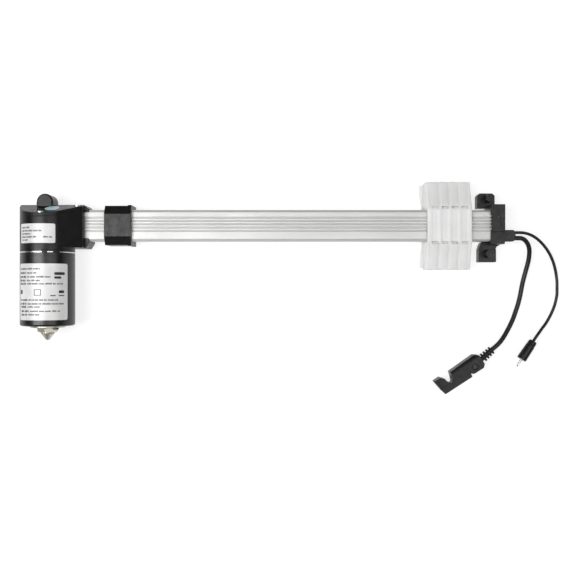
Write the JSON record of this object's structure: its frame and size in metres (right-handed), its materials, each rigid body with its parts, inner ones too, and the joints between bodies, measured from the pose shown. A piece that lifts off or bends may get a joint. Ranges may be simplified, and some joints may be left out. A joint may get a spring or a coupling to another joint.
{
  "type": "linear actuator",
  "caption": "Electric linear actuator: a motor and worm gearbox at one end of a fluted aluminium rail turn a lead screw that drives a winged nylon slider, with two short leads.",
  "frame": {"origin": "centre of the rear pivot bore, which crosses the motor's axis", "axes": "+X along the rail from the gearbox to the end cap, +Y up the motor's axis away from the motor, +Z out of the rail's fluted front face"},
  "size_m": [0.5367, 0.2129, 0.0526],
  "materials": {
    "anodised_aluminium": "satin anodised, drawn lengthwise",
    "black_plastic": "fine moulded texture",
    "black_paint": "semi-gloss black",
    "steel": "bright machined",
    "dark_steel": "black oxide",
    "zinc_plate": "bright zinc with a faint yellow tint",
    "nickel": "bright nickel",
    "label_foil": "printed satin foil",
    "blue_sticker": "satin paper",
    "bronze": "sintered, oiled",
    "brass": "bright",
    "copper": "enamelled wire",
    "ferrite": "ground ceramic magnet",
    "carbon": "pressed graphite",
    "brown_board": "phenolic board",
    "green_board": "solder mask",
    "red_plastic": "moulded",
    "white_nylon": "translucent natural nylon",
    "acetal": "waxy",
    "black_rubber": "soft sheath"
  },
  "bodies": {
    "root": {"rail": "anodised_aluminium", "rail_clip": "black_plastic", "end_cap": "black_plastic", "end_cap_screws": "dark_steel", "screw_end_bush": "bronze", "cable_gland": "black_rubber", "gearbox_housing": "black_plastic", "gearbox_cover": "black_plastic", "cover_screws": "steel", "gearbox_label": "label_foil", "check_dot": "blue_sticker", "wheel_bush": "bronze", "worm_tip_bush": "bronze", "bearing_outer_ring": "steel", "bearing_balls": "steel", "motor_flange": "steel", "motor_can": "black_paint", "motor_label": "label_foil", "motor_end_plate": "zinc_plate", "end_plate_screws": "dark_steel", "end_hex_nut": "zinc_plate", "end_cone": "zinc_plate", "field_magnets": "ferrite", "brush_holder": "brown_board", "carbon_brushes": "carbon", "brush_springs": "steel", "motor_front_bush": "bronze", "motor_rear_bush": "bronze", "switch_strip": "green_board", "rear_limit_switch": "black_plastic", "front_limit_switch": "black_plastic", "rail_cable": "black_rubber", "power_cord": "black_rubber", "cord_strain_relief": "black_rubber", "power_connector_body": "black_plastic", "connector_contacts": "brass", "connector_screw": "dark_steel", "signal_cord": "black_rubber", "jack_body": "black_plastic", "jack_pin": "nickel"},
    "rotor": {"motor_shaft": "steel", "worm": "steel", "armature_core": "steel", "armature_windings": "copper", "commutator": "copper"},
    "screw": {"lead_screw": "steel", "worm_wheel": "bronze", "wheel_key": "dark_steel", "wheel_lock_nut": "steel", "bearing_inner_ring": "steel"},
    "slider": {"slider_block": "white_nylon", "drive_nut": "acetal", "nut_screws": "steel"},
    "rear_button": {"rear_switch_button": "red_plastic"},
    "front_button": {"front_switch_button": "red_plastic"}
  },
  "joints": [
    {"name": "motor_spin", "type": "hinge", "parent": "root", "child": "rotor", "pos_m": [0, 0, 0], "axis": [0, 1, 0], "range_deg": [-2700, 155520]},
    {"name": "screw_spin", "type": "hinge", "parent": "root", "child": "screw", "pos_m": [0, -0.0225, -0.013], "axis": [1, 0, 0], "range_deg": [-150, 8640]},
    {"name": "slider_travel", "type": "slide", "parent": "root", "child": "slider", "axis": [1, 0, 0], "range_m": [-0.288, 0.005]},
    {"name": "rear_switch_press", "type": "slide", "parent": "root", "child": "rear_button", "axis": [1, 0, 0], "range_m": [-0.0009, 0], "stiffness_N_per_m": 200},
    {"name": "front_switch_press", "type": "slide", "parent": "root", "child": "front_button", "axis": [1, 0, 0], "range_m": [0, 0.0009], "stiffness_N_per_m": 200}
  ],
  "couplings": [
    {"joint": "screw_spin", "follows": "motor_spin", "ratio": 0.055556},
    {"joint": "slider_travel", "follows": "motor_spin", "m_per_rad": -0.0001061}
  ]
}
